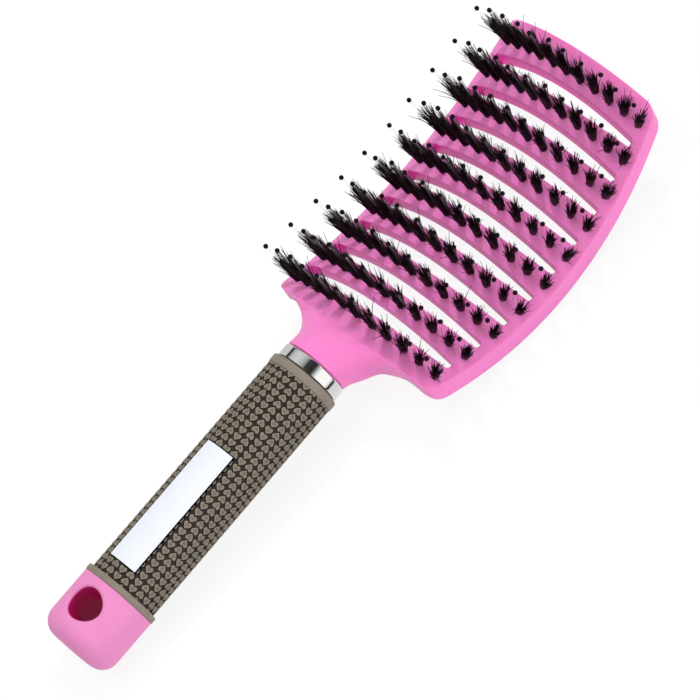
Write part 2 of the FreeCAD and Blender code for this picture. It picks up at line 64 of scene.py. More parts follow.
COLUMN_SHARES = np.array([0.08, 0.24, 0.4, 0.56, 0.71, 0.85, 0.91, 1.0])
NECK_COLUMN = 4
NECK_LENGTH = 13.3
NECK_RINGS = np.array([0.5, 1.2, 2.2, 3.6, 5.2, 7.0, 9.0, 11.2, 12.8, NECK_LENGTH])
NECK_RADIUS = 11.3
NECK_FLARE = 0.7
NECK_FILLET = 11.0
NECK_LEAD = 0.56
NECK_ROUNDING = 0.8
TANG_RADIUS = 7.1
TANG_LENGTH = 45.0

rib_nodes = [f"vent_rib_{rib:02d}" for rib in range(1, 9)]
head_nodes = ["neck_bar", "tip_bar", "side_rail_left", "side_rail_right", *rib_nodes]
neck_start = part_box("ferrule")[1].y / MM
head_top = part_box("tip_bar")[1].y / MM
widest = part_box("side_rail_right")[1].x / MM
head_low = neck_start + NECK_LENGTH
scoop_y = (head_low + head_top) / 2
row_y = np.array([sum(corner.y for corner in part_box(f"bristle_row_{row}")) / 2 for row in ROWS]) / MM
vent_y = (row_y[:-1] + row_y[1:]) / 2


def side_line(y):
    """Half the head's width: the widest half less the drop of a wide bow about the widest place."""
    return widest - SIDE_BOW + np.sqrt(SIDE_BOW**2 - (y - head_low - WIDEST_PLACE) ** 2)


def outline(y):
    """The side line, drawn in by a quarter circle at the top corners and another at the low corners."""
    top = np.clip(y - head_top + TOP_CORNER, 0, TOP_CORNER)
    low = np.clip(head_low + LOW_RISE + LOW_CORNER - y, 0, LOW_CORNER)
    top_drop = TOP_CORNER - np.sqrt(TOP_CORNER**2 - top**2)
    low_drop = LOW_CORNER - np.sqrt(LOW_CORNER**2 - low**2)
    return side_line(y) - top_drop - low_drop


def crown(x, y, depth=0.0):
    """Height of the head's face: an arc across, swept round a wide arc along.

    depth goes down from the face into the plate.
    """
    reach = SCOOP + CROWN - np.sqrt((CROWN - depth) ** 2 - x**2)
    return SCOOP - SCOOP_DEPTH - np.sqrt(reach**2 - (y - scoop_y) ** 2)


def head_lines():
    """Lines across the head from low edge to top.

    Each is (place at the rail, swell towards the middle, one where a vent opens).
    """
    low = [(head_low + LOW_RISE + step, -LOW_RISE, 0) for step in LOW_STEPS]
    top = [(head_top - step, 0, 0) for step in TOP_STEPS]
    lines = [*low, (row_y[0], 0, 0)]
    swell = VENT_HALF - VENT_END_HALF
    for vent, row in zip(vent_y, row_y[1:]):
        lines.append((vent - VENT_END_HALF - RIB_ROUND, -swell, 0))
        lines.append((vent - VENT_END_HALF, -swell, 1))
        lines.append((vent + VENT_END_HALF, swell, 0))
        lines.append((vent + VENT_END_HALF + RIB_ROUND, swell, 0))
        lines.append((row, 0, 0))
    return np.array(lines + top)


def neck_rings(start, turn):
    """Rings back from the low edge: the plate's section eases to the neck's circle and steps in to the tang.

    start holds the points of the ring round the low edge, and turn the angle that each takes on the circle.
    """
    back = NECK_RINGS[:, None]
    share = back / NECK_LENGTH
    ease = share**2 * (3 - 2 * share)
    top, bottom = crown(0, head_low), crown(0, head_low, PLATE)
    lead = NECK_LEAD * back * (1 - share) ** 2
    rise = top + lead + (NECK_RADIUS - top) * ease
    fall = bottom + lead + (-NECK_RADIUS - bottom) * ease
    flat_x = start[:, 0] / start[:, 0].max()
    flat_z = (start[:, 2] - (top + bottom) / 2) / ((top - bottom) / 2)
    fillet_in = np.clip(NECK_FILLET - back, 0, NECK_FILLET)
    wide = NECK_RADIUS + NECK_FLARE * (1 - share) + NECK_FILLET - np.sqrt(NECK_FILLET**2 - fillet_in**2)
    round_share = ease**NECK_ROUNDING
    neck_x = wide * ((1 - round_share) * flat_x + round_share * np.cos(turn))
    tall = (rise - fall) / 2
    neck_z = (rise + fall) / 2 + tall * ((1 - round_share) * flat_z + round_share * np.sin(turn))
    neck = np.stack([neck_x, np.broadcast_to(head_low - back, neck_x.shape), neck_z], -1)
    tang_y = neck_start - np.array([0.0, TANG_LENGTH])[:, None]
    tang_x, tang_z = TANG_RADIUS * np.cos(turn)[None], TANG_RADIUS * np.sin(turn)[None]
    tang = np.stack(np.broadcast_arrays(tang_x, tang_y, tang_z), -1)
    return np.concatenate([neck, tang])


def head_cage():
    """The head as a quad cage: a grid of lines across and columns along, lifted to the crown in four layers.

    Cells between two ribs are left open, each open edge gets a wall down the layers, and rings of points run
    back from the middle of the low edge to the neck and the tang. A share of one marks the points that lie
    down a vent's wall.
    """
    lines = head_lines()
    half = outline(lines[:, 0])[:, None]
    inner = half - RAIL - RIB_ROUND
    left = [-half, RAIL_ROUND - half, RAIL - half]
    shares = np.concatenate([-COLUMN_SHARES[::-1], COLUMN_SHARES])
    x = np.hstack([*left, inner * shares, *[-side for side in left[::-1]]])
    count, columns = x.shape
    swell = 1 - np.clip(np.abs(x) / (half - RAIL), 0, 1) ** 2
    y = lines[:, :1] + lines[:, 1:2] * swell
    solid = np.zeros((count + 1, columns + 1), bool)
    solid[1:-1, 1:-1] = True
    solid[1:-1, 3:-3] &= lines[:-1, 2:] == 0
    edge = np.zeros((count, columns), bool)
    edge[[0, -1], :] = True
    edge[:, [0, -1]] = True
    round_over = np.where(edge, RAIL_ROUND, RIB_ROUND)
    layers = [crown(x, y), crown(x, y) - round_over, crown(x, y, PLATE) + round_over, crown(x, y, PLATE)]
    points = np.concatenate([np.stack([x, y, z], -1).reshape(-1, 3) for z in layers])
    place = np.arange(4 * count * columns).reshape(4, count, columns)
    vent_wall = np.zeros((4, count, columns))
    vent_wall[1:3] = ~edge

    face_up = np.stack([place[0, :-1, :-1], place[0, :-1, 1:], place[0, 1:, 1:], place[0, 1:, :-1]], -1)
    face_up = face_up[solid[1:-1, 1:-1]]
    face_down = (face_up + 3 * count * columns)[:, ::-1]
    faces = [face_up, face_down]
    first, last = NECK_COLUMN, columns - 1 - NECK_COLUMN
    for step in range(3):
        high, low = place[step], place[step + 1]
        across = np.stack([low[:, :-1], low[:, 1:], high[:, 1:], high[:, :-1]], -1)
        along = np.stack([low[1:], low[:-1], high[:-1], high[1:]], -1)
        above, below = solid[1:, 1:-1].copy(), solid[:-1, 1:-1]
        right, beside = solid[1:-1, 1:], solid[1:-1, :-1]
        above[0, first:last] = False
        faces += [across[above & ~below], across[below & ~above][:, ::-1]]
        faces += [along[right & ~beside], along[beside & ~right][:, ::-1]]

    ring = np.concatenate([
        place[0, 0, first:last + 1],
        place[1:3, 0, last],
        place[3, 0, first:last + 1][::-1],
        place[2:0:-1, 0, first],
    ])
    turn = np.pi / 2 - (np.arange(len(ring)) - (last - first) / 2) * 2 * np.pi / len(ring)
    rings = neck_rings(points[ring], turn)
    ring_place = np.vstack([ring, len(points) + np.arange(rings.size // 3).reshape(-1, len(ring))])
    wrapped = np.roll(ring_place, -1, 1)
    faces.append(np.stack([ring_place[:-1], ring_place[1:], wrapped[1:], wrapped[:-1]], -1).reshape(-1, 4))
    end = ring_place[-1].reshape(2, -1)
    faces.append(np.stack([end[0, :-1], end[1, ::-1][:-1], end[1, ::-1][1:], end[0, 1:]], -1))
    vent_wall = np.concatenate([vent_wall.ravel(), np.zeros(rings.size // 3)])
    return np.concatenate([points, rings.reshape(-1, 3)]), faces, vent_wall


def add_piece(name, points, faces, finish, slot, nodes, levels=0, sharp=None, wall=None):
    """A smooth mesh in metres from points in millimetres, in place of its CAD nodes.

    Points that no face uses are dropped. wall is the share of a vent's wall at each point.
    """
    used = np.unique(np.concatenate([group.ravel() for group in faces]))
    mesh = bpy.data.meshes.new(name)
    polygons = [polygon for group in faces for polygon in np.searchsorted(used, group).tolist()]
    mesh.from_pydata((points[used] * MM).tolist(), [], polygons)
    mesh.shade_smooth()
    if sharp:
        mesh.set_sharp_from_angle(angle=sharp)
    if wall is not None:
        mesh.attributes.new("wall", "FLOAT", "POINT").data.foreach_set("value", wall[used])
    mesh.materials.append(finish.material)
    piece = bpy.data.objects.new(name, mesh)
    bpy.context.scene.collection.objects.link(piece)
    if levels:
        rounding = piece.modifiers.new("rounding", "SUBSURF")
        rounding.levels = levels
        rounding.render_levels = levels
    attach(piece, "root")
    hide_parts(*nodes)


class Tone:
    """A shader socket; arithmetic on it adds Math nodes beside it."""

    def __init__(self, tree, socket):
        self.tree = tree
        self.socket = socket

    def join(self, operation, first, second):
        node = self.tree.nodes.new("ShaderNodeMath")
        node.operation = operation
        for item, socket in zip((first, second), node.inputs):
            if isinstance(item, Tone):
                self.tree.links.new(item.socket, socket)
            else:
                socket.default_value = item
        return Tone(self.tree, node.outputs[0])

    def __add__(self, other):
        return self.join("ADD", self, other)

    def __radd__(self, other):
        return self.join("ADD", other, self)

    def __sub__(self, other):
        return self.join("SUBTRACT", self, other)

    def __rsub__(self, other):
        return self.join("SUBTRACT", other, self)

    def __mul__(self, other):
        return self.join("MULTIPLY", self, other)

    def __rmul__(self, other):
        return self.join("MULTIPLY", other, self)

    def __pow__(self, other):
        return self.join("POWER", self, other)

    def __abs__(self):
        return (self * self) ** 0.5

    def most(self, other):
        return self.join("MAXIMUM", self, other)


class Shading:
    """A node tree that is filled one node at a time."""

    def __init__(self, tree):
        self.tree = tree

    def node(self, kind, settings=(), sockets=(), output=0):
        """One node: its settings first, then a value or a link for each named or numbered socket."""
        node = self.tree.nodes.new(kind)
        for key, value in dict(settings).items():
            if key == "stops":
                while len(node.color_ramp.elements) < len(value):
                    node.color_ramp.elements.new(1.0)
                for stop, (position, colour) in zip(node.color_ramp.elements, value):
                    stop.position = position
                    stop.color = colour
            else:
                setattr(node, key, value)
        for key, value in dict(sockets).items():
            if isinstance(value, Tone):
                self.tree.links.new(value.socket, node.inputs[key])
            else:
                node.inputs[key].default_value = value
        return Tone(self.tree, node.outputs[output])

    def blend(self, share, first, second):
        """Two colours mixed by a share."""
        return self.node("ShaderNodeMix", {"data_type": "RGBA"}, {0: share, 6: first, 7: second}, 2)

    def ramp(self, value, low, high):
        """A share that goes from 0 to 1 as a value goes from low to high."""
        return self.node("ShaderNodeMapRange", sockets={"Value": value, "From Min": low, "From Max": high})

    def noise(self, where, scale, detail):
        """A soft random pattern with so many waves to the metre."""
        return self.node("ShaderNodeTexNoise", sockets={"Vector": where, "Scale": scale, "Detail": detail})

    def axis(self, where, number):
        """One coordinate of a place: 0 across the brush, 1 along it, 2 up."""
        return self.node("ShaderNodeSeparateXYZ", sockets={0: where}, output=number)


class Finish(Shading):
    """A new material round its Principled shader, with the sockets that are the same all over set at once."""

    def __init__(self, name, **constants):
        self.material = bpy.data.materials.new(name)
        self.material.use_nodes = True
        super().__init__(self.material.node_tree)
        self.shader = self.tree.nodes["Principled BSDF"]
        for socket, value in constants.items():
            self.shader.inputs[socket.replace("_", " ")].default_value = value

    def place(self):
        """Object coordinates, in metres."""
        return self.node("ShaderNodeTexCoord", output=3)

    def feed(self, **sockets):
        """Links what varies over the surface to the shader."""
        for socket, tone in sockets.items():
            self.tree.links.new(tone.socket, self.shader.inputs[socket.replace("_", " ")])


def paint(seen):
    """A colour as it is seen, from 0 to 255, turned into the linear values that the shaders take."""
    seen = np.array(seen) / 255
    linear = np.where(seen <= 0.04045, seen / 12.92, ((seen + 0.055) / 1.055) ** 2.4)
    return (*linear.tolist(), 1.0)


CLOUD_GLOSS = 0.12
GRAIN_GLOSS = 0.06
SKIN_BUMP = 0.35


def moulded(name, colour, streak, gloss, cloud_size, grain_size, grain_depth, **constants):
    """Moulded plastic: a soft cloud of a second colour from the melt, uneven gloss and a fine skin grain."""
    finish = Finish(name, **constants)
    where = finish.place()
    cloud = finish.noise(where, 1 / (cloud_size * MM), 4.0)
    grain = finish.noise(where, 1 / (grain_size * MM), 2.0)
    skin = {"Strength": SKIN_BUMP, "Distance": grain_depth * MM, "Height": grain}
    bump = finish.node("ShaderNodeBump", sockets=skin)
    uneven = gloss + CLOUD_GLOSS * (cloud - 0.5) + GRAIN_GLOSS * (grain - 0.5)
    finish.tint = finish.blend(cloud, paint(colour), paint(streak))
    finish.feed(Base_Color=finish.tint, Roughness=uneven, Normal=bump)
    return finish


PINK = (240, 136, 200)
PINK_STREAK = (234, 128, 194)
VENT_SHADE_PINK = (255, 106, 214)

pink_plastic = moulded(
    "pink_plastic",
    PINK,
    PINK_STREAK,
    gloss=0.34,
    cloud_size=14,
    grain_size=0.5,
    grain_depth=0.015,
    Specular_IOR_Level=0.18,
    Subsurface_Weight=0.5,
    Subsurface_Radius=(1.0, 0.1, 0.4),
    Subsurface_Scale=2.5 * MM,
)
# The vents' walls are painted a deeper pink: painted shade for the saturated light inside the vents.
down_wall = pink_plastic.node("ShaderNodeAttribute", {"attribute_name": "wall"}, output=2)
pink_plastic.feed(Base_Color=pink_plastic.blend(down_wall, pink_plastic.tint, paint(VENT_SHADE_PINK)))
head_points, head_faces, vent_wall = head_cage()
add_piece(
    "head_moulding",
    head_points,
    head_faces,
    pink_plastic,
    "pink_plastic",
    head_nodes,
    levels=2,
    wall=vent_wall,
)

# Bristle tufts: boar-type hair, black brown, folded over a staple and driven into a hole in the rib.
# A tuft stands square to the crown, splays towards its tips and has a few stray hairs.
TUFTS = 11
EDGE_MARGIN = 3.2
FAN_SHARE = 0.88
TUFT_HEIGHT = 12.5
TUFT_ROOT = 1.25
TUFT_TIP = 2.25
FLARE_SPREAD = (0.6, 1.4)
HAIRS = 84
HAIR_SIDES = 3
HAIR_RADIUS = 0.18
HAIR_TIP = 0.075
HAIR_SINK = 1.0
HAIR_RUN = np.array([0.0, 0.35, 0.7, 1.0])
HAIR_BEND = 2.2
HAIR_SPREAD = (0.5, 1.0, 1.12)
STRAY_SHARE = 0.1
STRAY_DRIFT = 1.6
PLAIN_DRIFT = 0.45
HAIR_BLACK = (17, 9, 12)
HAIR_BROWN = (42, 24, 26)
HAIR_CLOUD = 900.0
HAIR_GLOSS = 0.35
HAIR_DULLING = 0.2

chance = np.random.default_rng(11)


def seats(y):
    """Feet and axes of one row's pins and tufts in turn.

    The feet lie at even angles about the crown, and each axis leans by a share of its foot's angle.
    """
    reach = np.arcsin((side_line(y) - EDGE_MARGIN) / CROWN)
    slope = reach * np.linspace(-1, 1, 2 * TUFTS)
    lean = slope * FAN_SHARE
    x = CROWN * np.sin(slope)
    feet = np.stack([x, np.full_like(x, y), crown(x, y)], -1)
    axes = np.stack([np.sin(lean), np.zeros_like(lean), np.cos(lean)], -1)
    return feet, axes


def sweep(centres, radii, side_a, side_b, sides):
    """Closed tubes: a ring of even sides round each centre, quads between rings and a flat cap at each end.

    centres is (tube, ring, 3), radii is (tube, ring), and side_a and side_b are the two directions across.
    """
    turn = np.arange(sides) * 2 * np.pi / sides
    out = np.cos(turn)[:, None] * side_a[:, None, None] + np.sin(turn)[:, None] * side_b[:, None, None]
    points = centres[:, :, None] + radii[:, :, None, None] * out
    tubes, rings = radii.shape
    place = np.arange(points.size // 3).reshape(tubes, rings, sides)
    wrapped = np.roll(place, -1, 2)
    walls = np.stack([place[:, :-1], wrapped[:, :-1], wrapped[:, 1:], place[:, 1:]], -1).reshape(-1, 4)
    return points.reshape(-1, 3), [walls, place[:, 0, ::-1], place[:, -1]]


def tuft_hairs(feet, axes):
    """Hairs of one row: each leaves its tuft at a random spot of the root disc.

    On its way up it moves out with the tuft's flare, by the square of its run, and bends by a power of it.
    """
    feet, axes = np.repeat(feet, HAIRS, 0), np.repeat(axes, HAIRS, 0)
    count = len(feet)
    across = np.stack([axes[:, 2], np.zeros(count), -axes[:, 0]], -1)
    along = np.tile([0.0, 1.0, 0.0], (count, 1))
    spot = np.sqrt(chance.random(count)) * TUFT_ROOT
    turn = chance.random(count) * 2 * np.pi
    stray = np.where(chance.random(count) < STRAY_SHARE, STRAY_DRIFT, PLAIN_DRIFT)
    tuft_flare = np.repeat(chance.uniform(*FLARE_SPREAD, TUFTS), HAIRS)
    flare = (TUFT_TIP / TUFT_ROOT - 1) * tuft_flare[:, None, None]
    run = HAIR_RUN[None, :, None]
    tall = (TUFT_HEIGHT * chance.triangular(*HAIR_SPREAD, count))[:, None, None]
    spot_a = (spot * np.cos(turn))[:, None, None] * across[:, None]
    spot_b = (spot * np.sin(turn))[:, None, None] * along[:, None]
    drift_a = (chance.normal(0, 1, count) * stray)[:, None, None] * across[:, None]
    drift_b = (chance.normal(0, 1, count) * stray)[:, None, None] * along[:, None]
    rise = axes[:, None] * (run * (tall + HAIR_SINK) - HAIR_SINK)
    spread = (spot_a + spot_b) * (1 + flare * run**2) + (drift_a + drift_b) * run**HAIR_BEND
    radii = np.tile(HAIR_RADIUS + (HAIR_TIP - HAIR_RADIUS) * HAIR_RUN**2, (count, 1))
    return sweep(feet[:, None] + rise + spread, radii, across, along, HAIR_SIDES)


hair = Finish("boar_bristle", Specular_IOR_Level=0.14)
hair_cloud = hair.noise(hair.place(), HAIR_CLOUD, 3.0)
hair_tint = hair.blend(hair_cloud**2, paint(HAIR_BLACK), paint(HAIR_BROWN))
hair.feed(Base_Color=hair_tint, Roughness=HAIR_GLOSS + HAIR_DULLING * hair_cloud)
for row, y in zip(ROWS, row_y):
    row_feet, row_axes = seats(y)
    points, faces = tuft_hairs(row_feet[1::2], row_axes[1::2])
    add_piece(f"tufts_row_{row}", points, faces, hair, "bristle", [f"bristle_row_{row}"])

# Detangling pins: clear nylon rods pushed into the ribs between the tufts, with a small collar at the foot
# and a black ball dipped on the end.
PIN_RADIUS = 0.55
PIN_HEIGHT = 17.0
PIN_SINK = 1.0
PIN_IN_BALL = 0.2
PIN_BALL = 0.85
PIN_SIDES = 8
PIN_LEAN = 0.025
BALL_RINGS = 6
BALL_FLAT = 0.12
NYLON = (240, 232, 236)
NYLON_STREAK = (228, 218, 223)
BALL_BLACK = (12, 9, 12)
BALL_STREAK = (24, 19, 22)

pin_rise = np.array([-PIN_SINK, 0.0, 0.35, 0.8, PIN_HEIGHT / 2, PIN_HEIGHT - 2 * PIN_BALL + PIN_IN_BALL])
pin_swell = np.array([1.0, 1.25, 1.2, 1.0, 0.94, 0.86]) * PIN_RADIUS
ball_turn = np.linspace(BALL_FLAT, np.pi - BALL_FLAT, BALL_RINGS)
ball_rise = PIN_HEIGHT - PIN_BALL - PIN_BALL * np.cos(ball_turn)
ball_swell = PIN_BALL * np.sin(ball_turn)


def spun(feet, axes, rise, swell):
    """Solids of revolution, one on each foot: the same radii at the same heights along each axis."""
    across = np.stack([axes[:, 2], axes[:, 1], -axes[:, 0]], -1)
    along = np.tile([0.0, 1.0, 0.0], (len(feet), 1))
    centres = feet[:, None] + axes[:, None] * rise[:, None]
    return sweep(centres, np.tile(swell, (len(feet), 1)), across, along, PIN_SIDES)


nylon = moulded(
    "clear_nylon", NYLON, NYLON_STREAK, gloss=0.2, cloud_size=3, grain_size=0.3, grain_depth=0.01, Alpha=0.07
)
ball_black = moulded(
    "ball_black",
    BALL_BLACK,
    BALL_STREAK,
    gloss=0.4,
    cloud_size=1.5,
    grain_size=0.3,
    grain_depth=0.01,
    Specular_IOR_Level=0.12,
)
for row, y in zip(ROWS, row_y):
    row_feet, row_axes = seats(y)
    pin_axes = row_axes[::2] + chance.normal(0, PIN_LEAN, (TUFTS, 3)) * [1, 1, 0]
    pin_axes /= np.linalg.norm(pin_axes, axis=1)[:, None]
    points, faces = spun(row_feet[::2], pin_axes, pin_rise, pin_swell)
    add_piece(f"pins_row_{row}", points, faces, nylon, "clear_nylon", [f"pin_row_{row}"])
    points, faces = spun(row_feet[::2], pin_axes, ball_rise, ball_swell)
    add_piece(f"balls_row_{row}", points, faces, ball_black, "tip_black", [f"pin_tips_row_{row}"])

# Staples: short flat wires of brushed steel, cut from a coil. One is driven in with each folded tuft and
# holds it down at the bottom of its hole.
STEEL = (176, 176, 180)
STEEL_STREAK = (140, 140, 146)


def dress(node, finish):
    """Gives a CAD node its finish in place of the plain one that it comes with."""
    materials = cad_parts[node].data.materials
    materials.clear()
    materials.append(finish.material)


staple_steel = moulded(
    "staple_steel",
    STEEL,
    STEEL_STREAK,
    gloss=0.32,
    cloud_size=0.6,
    grain_size=0.15,
    grain_depth=0.02,
    Metallic=1.0,
)
for row in ROWS:
    dress(f"staple_row_{row}", staple_steel)

# Ferrule: a spun brass ring with bright chrome plate. It is slid over the tang and sits between the neck
# and the grip.
CHROME = (251, 252, 251)
CHROME_STREAK = (243, 245, 243)

chrome = moulded(
    "chrome_plate",
    CHROME,
    CHROME_STREAK,
    gloss=0.06,
    cloud_size=2.5,
    grain_size=0.2,
    grain_depth=0.004,
    Metallic=1.0,
)
dress("ferrule", chrome)

# Handle core: the hard tube under the rubber, moulded in dark plastic. It is bored for the tang at one end
# and for the end cap's spigot at the other.
CORE_BROWN = (62, 56, 52)
CORE_STREAK = (48, 43, 40)

core_plastic = moulded(
    "core_plastic", CORE_BROWN, CORE_STREAK, gloss=0.5, cloud_size=8, grain_size=0.6, grain_depth=0.03
)
dress("handle_core", core_plastic)

# Grip sleeve: taupe rubber moulded over the core, with a plain collar at each end, a seat for the plate and
# columns of small plump hearts, dished on top, that point up and down in turn.
GRIP_RADIUS = 12.3
GRIP_BASE = 11.7
GRIP_BORE = 9.9
SLEEVE_SIDES = 96
FIELD_RINGS = 12
LOWER_COLLAR = (2.3, 13.4)
UPPER_COLLAR = (3.1, 12.45)
COLLAR_ROUND = 0.5
COLLAR_STEPS = 5
COLLAR_CREASE = 0.7
HEART_COLUMNS = 24
HEART_TURN = 10.0
HEART_START = 1.6
HEART_PITCH = 2.58
HEART_STAGGER = 0.5
HEART_WIDTH = 3.0
HEART_LENGTH = 2.7
HEART_HIDDEN = 0.8
HEART_SIDES = 16
HEART_PLUMP = 0.18
HEART_FOOT = GRIP_BASE - 0.2
HEART_SHOULDER = GRIP_RADIUS - 0.12
HEART_CREST = GRIP_RADIUS - 0.04
HEART_DISH = GRIP_RADIUS - 0.28
HEART_SHRINK = (1.0, 0.92, 0.74, 0.36)
PLATE_GAP = 0.3
GAP_FADE = 0.1
GROOVE_TOP = GRIP_BASE + 0.02
RUBBER_LIGHT = (141, 131, 118)
RUBBER_DARK = (46, 38, 31)
SEAM_SHADOW_BLACK = (16, 13, 11)
RUBBER_CLOUD = 260.0
RUBBER_GRAIN = 4200.0
RUBBER_COVER = 0.86
RUBBER_MOTTLE = 0.28
RUBBER_GLOSS = 0.58
RUBBER_DULLING = 0.16
RUBBER_BUMP = 0.5
RUBBER_DEPTH = 0.03

sleeve_low, sleeve_high = (corner.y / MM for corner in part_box("grip_sleeve"))
plate_low, plate_high = (np.array(corner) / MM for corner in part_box("label_plate"))
plate_half = (plate_high - plate_low)[:2] / 2 * MM
plate_middle = (plate_high[1] + plate_low[1]) / 2 * MM


def collar(start, length, radius):
    """Places and radii over one collar, with rounded shoulders."""
    arc = np.linspace(0, np.pi / 2, COLLAR_STEPS)
    rise = start + COLLAR_ROUND * (1 - np.cos(arc))
    swell = radius - COLLAR_ROUND * (1 - np.sin(arc))
    return np.concatenate([rise, 2 * start + length - rise[::-1]]), np.concatenate([swell, swell[::-1]])


def sleeve_skin():
    """The sleeve turned round the handle's axis: outside profile from end to end, then back down the bore."""
    low_y, low_r = collar(sleeve_low, *LOWER_COLLAR)
    high_y, high_r = collar(sleeve_high - UPPER_COLLAR[0], *UPPER_COLLAR)
    field = np.linspace(low_y[-1], high_y[0], FIELD_RINGS)
    y = np.concatenate([[low_y[0]], low_y, field, high_y, [high_y[-1]]])
    r = np.concatenate([[GRIP_BORE], low_r, np.full(FIELD_RINGS, GRIP_BASE), high_r, [GRIP_BORE]])
    turn = np.linspace(0, 2 * np.pi, SLEEVE_SIDES + 1)[:-1]
    across, up = r[:, None] * np.sin(turn), r[:, None] * np.cos(turn)
    points = np.stack(np.broadcast_arrays(across, y[:, None], up), -1)
    place = np.arange(points.size // 3).reshape(len(y), -1)
    wrapped, ahead = np.roll(place, -1, 1), np.roll(place, -1, 0)
    skin = np.stack([place, wrapped, np.roll(wrapped, -1, 0), ahead], -1)
    return points.reshape(-1, 3), [skin.reshape(-1, 4)]


def heart_nubs():
    """Raised hearts on the cylinder: a heart curve eased towards a circle, in rings that rise, turn and dip.

    Hearts that run on to the plate are cut off along its edge; those at the ends run in under the collars.
    """
    t = np.arange(HEART_SIDES) * 2 * np.pi / HEART_SIDES
    a = 16 * np.sin(t) ** 3
    b = 13 * np.cos(t) - 5 * np.cos(2 * t) - 2 * np.cos(3 * t) - np.cos(4 * t)
    a, b = a / np.ptp(a), (b - (b.max() + b.min()) / 2) / np.ptp(b)
    a = HEART_WIDTH * ((1 - HEART_PLUMP) * a + HEART_PLUMP * np.sin(t) / 2)
    b = HEART_LENGTH * ((1 - HEART_PLUMP) * b + HEART_PLUMP * np.cos(t) / 2)
    shrink = np.array(HEART_SHRINK)[:, None]
    lift = np.array([HEART_FOOT, HEART_SHOULDER, HEART_CREST, HEART_DISH])[:, None]
    column = np.arange(HEART_COLUMNS)
    turn = np.radians(HEART_TURN + 360 / HEART_COLUMNS * column)
    field_low, field_high = sleeve_low + LOWER_COLLAR[0], sleeve_high - UPPER_COLLAR[0]
    step = np.arange(-1, 2 + int((field_high - field_low) / HEART_PITCH))
    turn, step = np.meshgrid(turn, step, indexing="ij")
    up = np.where(column % 2 == 0, 1.0, -1.0)[:, None] + 0 * step
    y = field_low + HEART_START + HEART_PITCH * step + HEART_STAGGER * (up < 0)
    low_edge, high_edge = plate_low[1] - PLATE_GAP, plate_high[1] + PLATE_GAP
    side_edge = np.arcsin((plate_high[0] + PLATE_GAP) / lift)
    turn = np.angle(np.exp(1j * turn))
    above_plate = np.abs(turn) < np.arcsin(plate_high[0] / GRIP_RADIUS)
    beyond = (y < low_edge) | (y > high_edge)
    beside = np.abs(turn) + HEART_WIDTH / 2 / GRIP_RADIUS > side_edge.max()
    inside = (y > field_low - HEART_HIDDEN) & (y < field_high + HEART_HIDDEN)
    keep = (beside | beyond) & inside
    kept = (item[keep][:, None, None] for item in (turn, y, up, beyond, above_plate))
    turn, y, up, beyond, above_plate = kept
    angle = turn + shrink * a * up / GRIP_RADIUS
    run = y + shrink * b * up
    angle = np.where(beyond, angle, np.sign(turn) * np.maximum(np.abs(angle), side_edge))
    trimmed_end = np.where(y < low_edge, np.minimum(run, low_edge), np.maximum(run, high_edge))
    run = np.where(above_plate & beyond, trimmed_end, run)
    points = np.stack([lift * np.sin(angle), run, lift * np.cos(angle)], -1)
    place = np.arange(points.size // 3).reshape(-1, len(lift), HEART_SIDES)
    wrapped = np.roll(place, -1, 2)
    walls = np.stack([place[:, :-1], wrapped[:, :-1], wrapped[:, 1:], place[:, 1:]], -1).reshape(-1, 4)
    return points.reshape(-1, 3), [walls[:, ::-1], place[:, 0], place[:, -1, ::-1]]


rubber = Finish("grip_rubber", Specular_IOR_Level=0.35)
rubber_where = rubber.place()
rubber_x, rubber_y, rubber_z = (rubber.axis(rubber_where, number) for number in range(3))
rubber_radius = (rubber_x * rubber_x + rubber_z * rubber_z) ** 0.5
# The rubber is painted darker down in the grooves between the hearts and lighter on their tops.
rubber_height = rubber.ramp(rubber_radius, GROOVE_TOP * MM, HEART_SHOULDER * MM)
# A thin strip of rubber round the plate's seat is painted black: painted shadow in the seam.
beside_plate = abs(rubber_x) - (plate_half[0] + PLATE_GAP * MM)
past_plate = abs(rubber_y - plate_middle) - (plate_half[1] + PLATE_GAP * MM)
outside_gap = rubber.ramp(beside_plate.most(past_plate).most(rubber_z * -1), 0.0, GAP_FADE * MM)
rubber_cloud = rubber.noise(rubber_where, RUBBER_CLOUD, 5.0)
rubber_grain = rubber.noise(rubber_where, RUBBER_GRAIN, 2.0)
rubber_share = rubber_height * (RUBBER_COVER + RUBBER_MOTTLE * (rubber_cloud - 0.5))
rubber_tint = rubber.blend(rubber_share, paint(RUBBER_DARK), paint(RUBBER_LIGHT))
rubber_tint = rubber.blend(outside_gap, paint(SEAM_SHADOW_BLACK), rubber_tint)
rubber_skin = {"Strength": RUBBER_BUMP, "Distance": RUBBER_DEPTH * MM, "Height": rubber_grain}
rubber_bump = rubber.node("ShaderNodeBump", sockets=rubber_skin)
rubber_dull = RUBBER_GLOSS + RUBBER_DULLING * (rubber_grain - 0.5)
rubber.feed(Base_Color=rubber_tint, Roughness=rubber_dull, Normal=rubber_bump)
add_piece("grip_rubber", *sleeve_skin(), rubber, "grip_rubber", ["grip_sleeve"], sharp=COLLAR_CREASE)
add_piece("grip_hearts", *heart_nubs(), rubber, "grip_rubber", ["grip_sleeve"])

# Plate: a bare strip of white plastic let into the rubber on the bristle side of the handle. Its cut edges,
# down in the seat, are painted black: painted shadow in the seam.
PLATE_WHITE = (230, 233, 241)
PLATE_STREAK = (225, 229, 238)
EDGE_START = 0.08
EDGE_FULL = 0.04

plate_white = moulded(
    "plate_white", PLATE_WHITE, PLATE_STREAK, gloss=0.34, cloud_size=9, grain_size=0.4, grain_depth=0.01
)
plate_where = plate_white.place()
plate_x, plate_y = (plate_white.axis(plate_where, number) for number in range(2))
past_side = abs(plate_x) - plate_half[0]
past_end = abs(plate_y - plate_middle) - plate_half[1]
